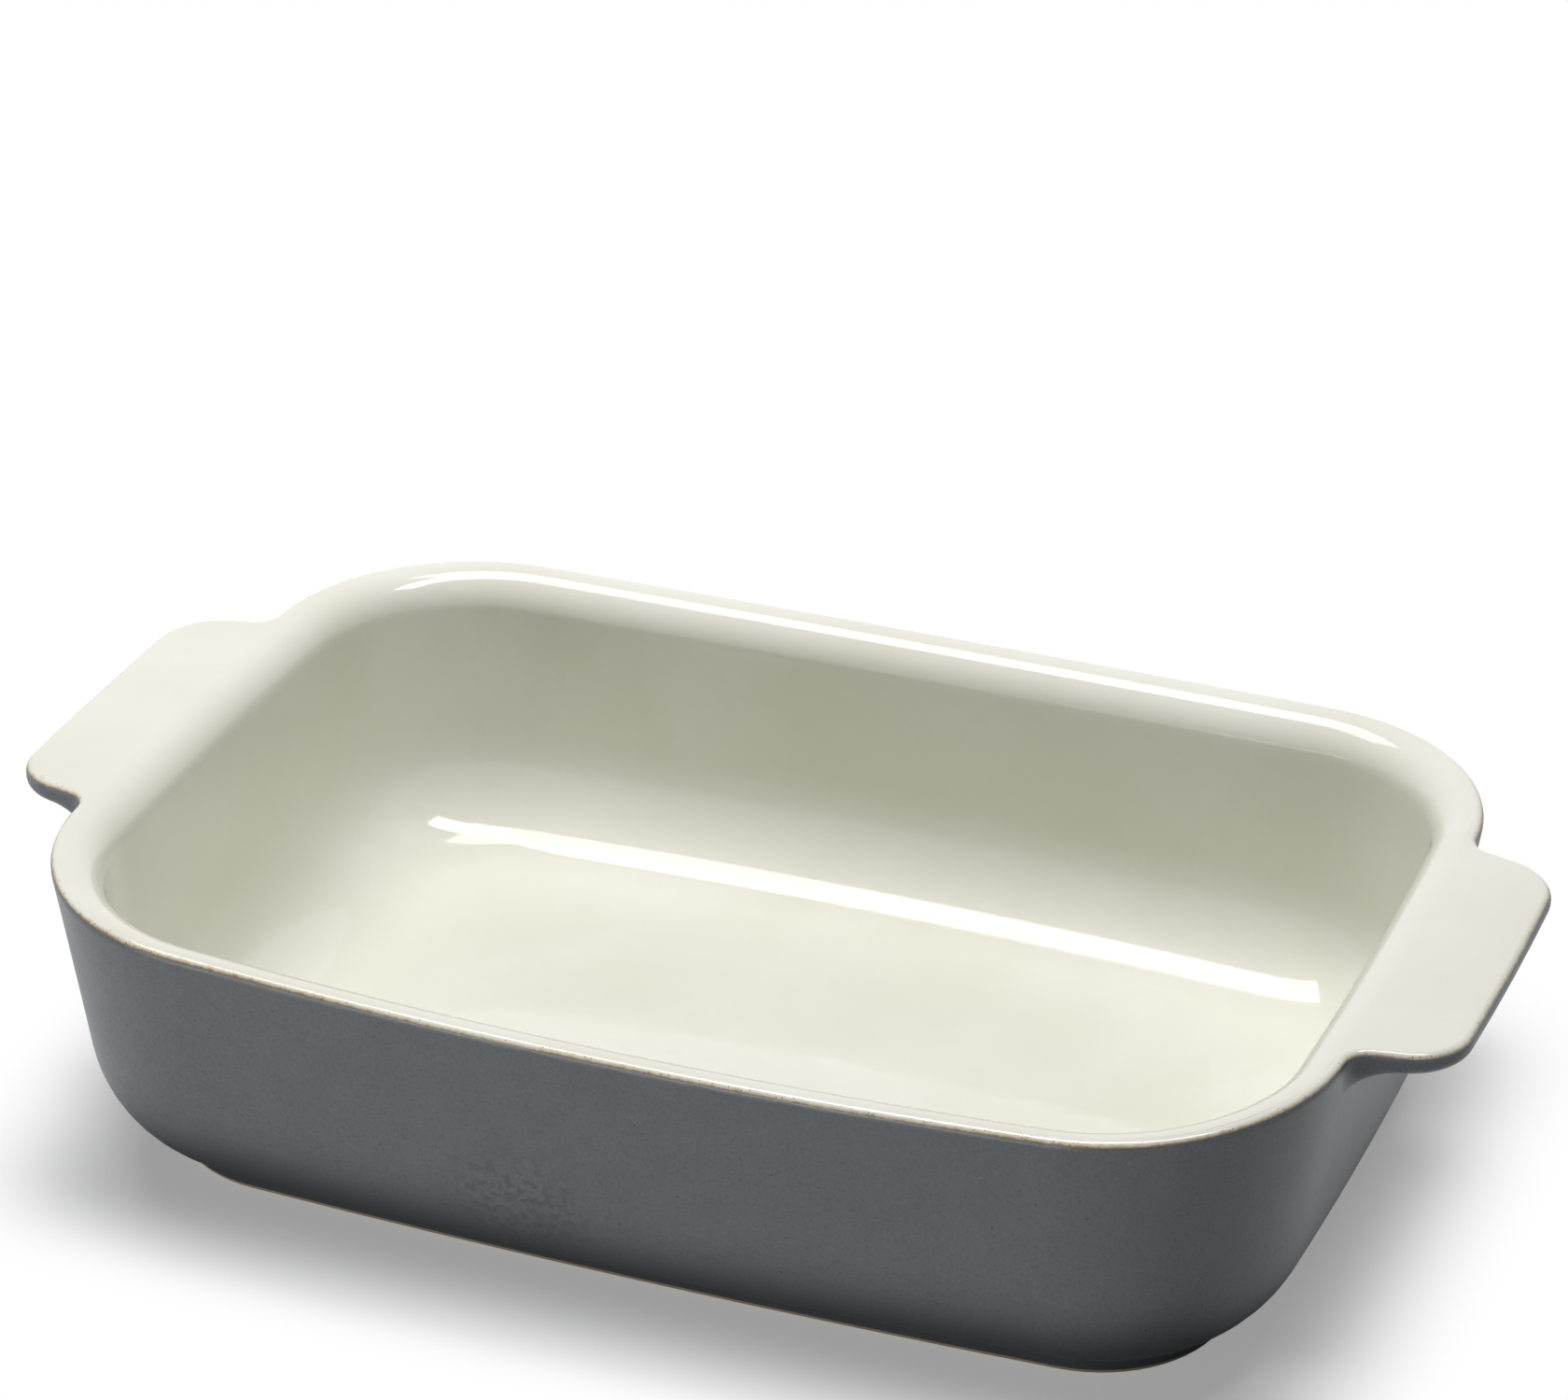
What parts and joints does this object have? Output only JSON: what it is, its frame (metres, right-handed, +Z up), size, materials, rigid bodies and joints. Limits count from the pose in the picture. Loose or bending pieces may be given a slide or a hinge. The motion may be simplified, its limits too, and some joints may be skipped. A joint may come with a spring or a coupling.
{
  "type": "lasagna dish",
  "caption": "Deep rectangular stoneware oven dish with rounded corners, tab handles, glossy cream glaze inside and satin grey glaze outside.",
  "frame": {"origin": "centre of the dish in plan, on the table under the foot ring", "axes": "+X along the length, through both handles; +Y across the width; +Z up, out of the open top"},
  "size_m": [0.36, 0.2216, 0.079],
  "materials": {
    "stoneware": "bare fired stoneware clay, matt and slightly rough",
    "cream_glaze": "glossy cream glaze",
    "grey_glaze": "satin slate-grey glaze with a fine speckle"
  },
  "bodies": {
    "root": {"stoneware_body": "stoneware", "cream_inner_glaze": "cream_glaze", "grey_outer_glaze": "grey_glaze", "grey_underside_glaze": "grey_glaze"}
  },
  "joints": []
}
